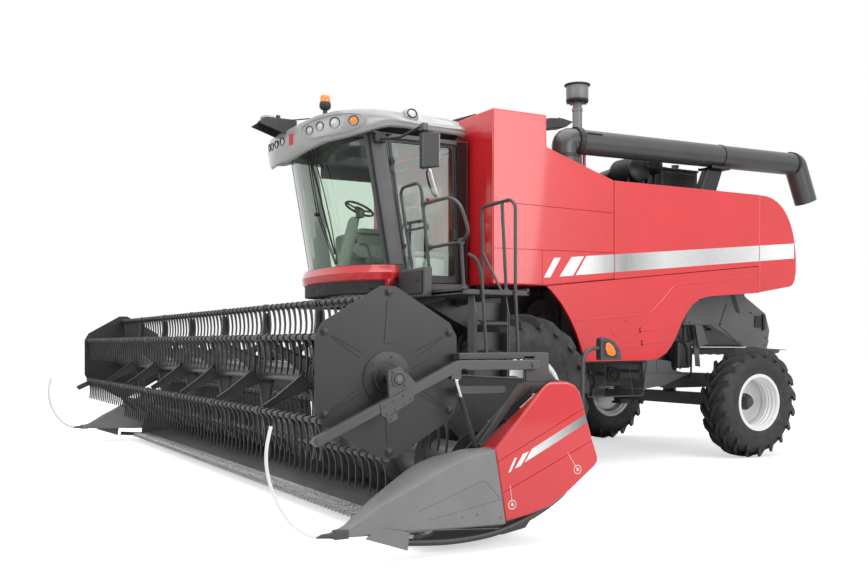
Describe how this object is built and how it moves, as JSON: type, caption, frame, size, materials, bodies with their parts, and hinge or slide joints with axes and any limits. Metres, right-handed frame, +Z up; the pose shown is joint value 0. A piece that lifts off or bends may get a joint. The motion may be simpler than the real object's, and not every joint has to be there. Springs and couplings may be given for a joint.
{
  "type": "combine harvester with a thirty foot grain header",
  "caption": "Self-propelled combine harvester with reel header, feeder house, cab, open grain tank, swinging unloading auger, straw chopper and steered rear wheels.",
  "frame": {"origin": "middle of the whole machine's footprint, on the ground under the tyres and skid shoes", "axes": "+Z up, -Y towards the machine's front, +X towards its left side, along the header"},
  "size_m": [9.4036, 9.004, 4.64],
  "materials": {
    "painted_red": "gloss enamel",
    "frame_charcoal": "satin charcoal paint",
    "deck_black": "satin black paint",
    "header_charcoal": "satin charcoal paint",
    "grey_plastic": "satin moulded plastic",
    "grey_sheet": "satin grey paint",
    "roof_grey": "gloss moulded grey",
    "rim_silver": "silver paint",
    "bright_steel": "bright zinc",
    "tyre_rubber": "matt rubber",
    "cab_glass": "lightly green tinted",
    "seat_fabric": "woven grey trim"
  },
  "bodies": {
    "chassis": {"main_frame": "frame_charcoal", "front_axle": "frame_charcoal", "rear_axle": "frame_charcoal", "separator_housing": "frame_charcoal", "grain_tank": "painted_red", "upper_panel_left": "painted_red", "upper_panel_right": "painted_red", "rear_hood": "painted_red", "straw_chopper": "grey_sheet", "engine_block": "frame_charcoal", "engine_deck": "deck_black", "auger_turret": "frame_charcoal", "cab_shell": "frame_charcoal", "cab_skirt": "painted_red", "cab_roof": "roof_grey", "cab_glazing": "cab_glass", "operator_station": "seat_fabric", "mirror_left": "deck_black", "mirror_right": "deck_black", "platform": "frame_charcoal"},
    "front_wheel_left": {"front_tyre_left": "tyre_rubber", "front_rim_left": "rim_silver"},
    "front_wheel_right": {"front_tyre_right": "tyre_rubber", "front_rim_right": "rim_silver"},
    "knuckle_left": {"knuckle_left": "frame_charcoal"},
    "knuckle_right": {"knuckle_right": "frame_charcoal"},
    "rear_wheel_left": {"rear_tyre_left": "tyre_rubber", "rear_rim_left": "rim_silver"},
    "rear_wheel_right": {"rear_tyre_right": "tyre_rubber", "rear_rim_right": "rim_silver"},
    "side_door_left": {"side_door_left": "painted_red"},
    "side_door_right": {"side_door_right": "painted_red"},
    "unloader": {"unloading_tube": "frame_charcoal"},
    "cab_door": {"cab_door": "frame_charcoal", "door_glass": "cab_glass"},
    "ladder": {"ladder": "frame_charcoal"},
    "header": {"feeder_house": "frame_charcoal", "header_trough": "header_charcoal", "header_frame": "header_charcoal", "end_shield_left": "painted_red", "end_shield_right": "painted_red", "divider_nose_left": "grey_plastic", "divider_nose_right": "grey_plastic"},
    "knife": {"knife_bar": "bright_steel"},
    "cross_auger": {"cross_auger": "header_charcoal"},
    "reel_arms": {"reel_arm_left": "header_charcoal", "reel_arm_right": "header_charcoal"},
    "reel": {"reel_frame": "header_charcoal"},
    "reel_barrels": {"reel_cylinder_left": "deck_black", "reel_cylinder_right": "deck_black"},
    "reel_rods": {"reel_rod_left": "bright_steel", "reel_rod_right": "bright_steel"},
    "lift_barrels": {"lift_cylinders": "deck_black"},
    "lift_rods": {"lift_rods": "bright_steel"},
    "tine_bar_1": {"tine_bar_1": "header_charcoal"},
    "tine_bar_2": {"tine_bar_2": "header_charcoal"},
    "tine_bar_3": {"tine_bar_3": "header_charcoal"},
    "tine_bar_4": {"tine_bar_4": "header_charcoal"},
    "tine_bar_5": {"tine_bar_5": "header_charcoal"},
    "tine_bar_6": {"tine_bar_6": "header_charcoal"}
  },
  "joints": [
    {"name": "front_wheel_left_spin", "type": "hinge", "parent": "chassis", "child": "front_wheel_left", "pos_m": [1.36, -0.43544, 0.88], "axis": [1, 0, 0], "continuous": true},
    {"name": "front_wheel_right_spin", "type": "hinge", "parent": "chassis", "child": "front_wheel_right", "pos_m": [-1.36, -0.43544, 0.88], "axis": [1, 0, 0], "continuous": true},
    {"name": "steer_left", "type": "hinge", "parent": "chassis", "child": "knuckle_left", "pos_m": [1.12, 3.06456, 0.698], "axis": [0, 0, 1], "range_deg": [-35, 35]},
    {"name": "rear_wheel_left_spin", "type": "hinge", "parent": "knuckle_left", "child": "rear_wheel_left", "pos_m": [1.45, 3.06456, 0.698], "axis": [1, 0, 0], "continuous": true},
    {"name": "steer_right", "type": "hinge", "parent": "chassis", "child": "knuckle_right", "pos_m": [-1.12, 3.06456, 0.698], "axis": [0, 0, 1], "range_deg": [-35, 35]},
    {"name": "rear_wheel_right_spin", "type": "hinge", "parent": "knuckle_right", "child": "rear_wheel_right", "pos_m": [-1.45, 3.06456, 0.698], "axis": [1, 0, 0], "continuous": true},
    {"name": "side_door_left_open", "type": "hinge", "parent": "chassis", "child": "side_door_left", "pos_m": [1.5, 1.56456, 2.25191], "axis": [0, -0.9947, -0.1029], "range_deg": [0, 80]},
    {"name": "side_door_right_open", "type": "hinge", "parent": "chassis", "child": "side_door_right", "pos_m": [-1.5, 1.56456, 2.25191], "axis": [0, 0.9947, 0.1029], "range_deg": [0, 80]},
    {"name": "unloader_swing", "type": "hinge", "parent": "chassis", "child": "unloader", "pos_m": [1.24, 0.32456, 3.58], "axis": [0, 0, -1], "range_deg": [0, 100]},
    {"name": "cab_door_open", "type": "hinge", "parent": "chassis", "child": "cab_door", "pos_m": [1.046, -1.63544, 2.29], "axis": [0, 0.1544, -0.988], "range_deg": [0, 70]},
    {"name": "ladder_swing", "type": "hinge", "parent": "chassis", "child": "ladder", "pos_m": [2.165, -1.48044, 1.9], "axis": [0, 0, 1], "range_deg": [0, 90]},
    {"name": "header_lift", "type": "hinge", "parent": "chassis", "child": "header", "pos_m": [0, -0.58544, 1.75], "axis": [-1, 0, 0], "range_deg": [0, 22]},
    {"name": "knife_stroke", "type": "slide", "parent": "header", "child": "knife", "axis": [1, 0, 0], "range_m": [-0.038, 0.038]},
    {"name": "auger_spin", "type": "hinge", "parent": "header", "child": "cross_auger", "pos_m": [0, -2.56544, 0.46], "axis": [1, 0, 0], "continuous": true},
    {"name": "reel_lift", "type": "hinge", "parent": "header", "child": "reel_arms", "pos_m": [0, -2.40544, 1.285], "axis": [-1, 0, 0], "range_deg": [-6, 28]},
    {"name": "reel_spin", "type": "hinge", "parent": "reel_arms", "child": "reel", "pos_m": [0, -3.50544, 1.2], "axis": [1, 0, 0], "continuous": true},
    {"name": "tine_bar_1_turn", "type": "hinge", "parent": "reel", "child": "tine_bar_1", "pos_m": [0, -3.50544, 1.762], "axis": [1, 0, 0], "continuous": true},
    {"name": "tine_bar_2_turn", "type": "hinge", "parent": "reel", "child": "tine_bar_2", "pos_m": [0, -3.01873, 1.481], "axis": [1, 0, 0], "continuous": true},
    {"name": "tine_bar_3_turn", "type": "hinge", "parent": "reel", "child": "tine_bar_3", "pos_m": [0, -3.01873, 0.919], "axis": [1, 0, 0], "continuous": true},
    {"name": "tine_bar_4_turn", "type": "hinge", "parent": "reel", "child": "tine_bar_4", "pos_m": [0, -3.50544, 0.638], "axis": [1, 0, 0], "continuous": true},
    {"name": "tine_bar_5_turn", "type": "hinge", "parent": "reel", "child": "tine_bar_5", "pos_m": [0, -3.99215, 0.919], "axis": [1, 0, 0], "continuous": true},
    {"name": "tine_bar_6_turn", "type": "hinge", "parent": "reel", "child": "tine_bar_6", "pos_m": [0, -3.99215, 1.481], "axis": [1, 0, 0], "continuous": true},
    {"name": "reel_barrel_tilt", "type": "hinge", "parent": "header", "child": "reel_barrels", "pos_m": [0, -2.87544, 0.68], "axis": [-1, 0, 0], "range_deg": [-2, 9]},
    {"name": "reel_rod_stroke", "type": "slide", "parent": "reel_barrels", "child": "reel_rods", "axis": [0, -0.3189, 0.9478], "range_m": [-0.07, 0.31]},
    {"name": "lift_barrel_tilt", "type": "hinge", "parent": "chassis", "child": "lift_barrels", "pos_m": [0, -0.62544, 0.76], "axis": [-1, 0, 0], "range_deg": [0, 23.5]},
    {"name": "lift_rod_stroke", "type": "slide", "parent": "lift_barrels", "child": "lift_rods", "axis": [0, -0.9864, -0.1644], "range_m": [0, 0.385]}
  ],
  "couplings": [
    {"joint": "steer_right", "follows": "steer_left", "ratio": 1},
    {"joint": "reel_barrel_tilt", "follows": "reel_lift", "ratio": 0.30257},
    {"joint": "reel_rod_stroke", "follows": "reel_lift", "m_per_rad": 0.61903},
    {"joint": "lift_barrel_tilt", "follows": "header_lift", "ratio": 1.0493},
    {"joint": "lift_rod_stroke", "follows": "header_lift", "m_per_rad": 0.98503},
    {"joint": "tine_bar_1_turn", "follows": "reel_spin", "ratio": -1},
    {"joint": "tine_bar_2_turn", "follows": "reel_spin", "ratio": -1},
    {"joint": "tine_bar_3_turn", "follows": "reel_spin", "ratio": -1},
    {"joint": "tine_bar_4_turn", "follows": "reel_spin", "ratio": -1},
    {"joint": "tine_bar_5_turn", "follows": "reel_spin", "ratio": -1},
    {"joint": "tine_bar_6_turn", "follows": "reel_spin", "ratio": -1}
  ]
}
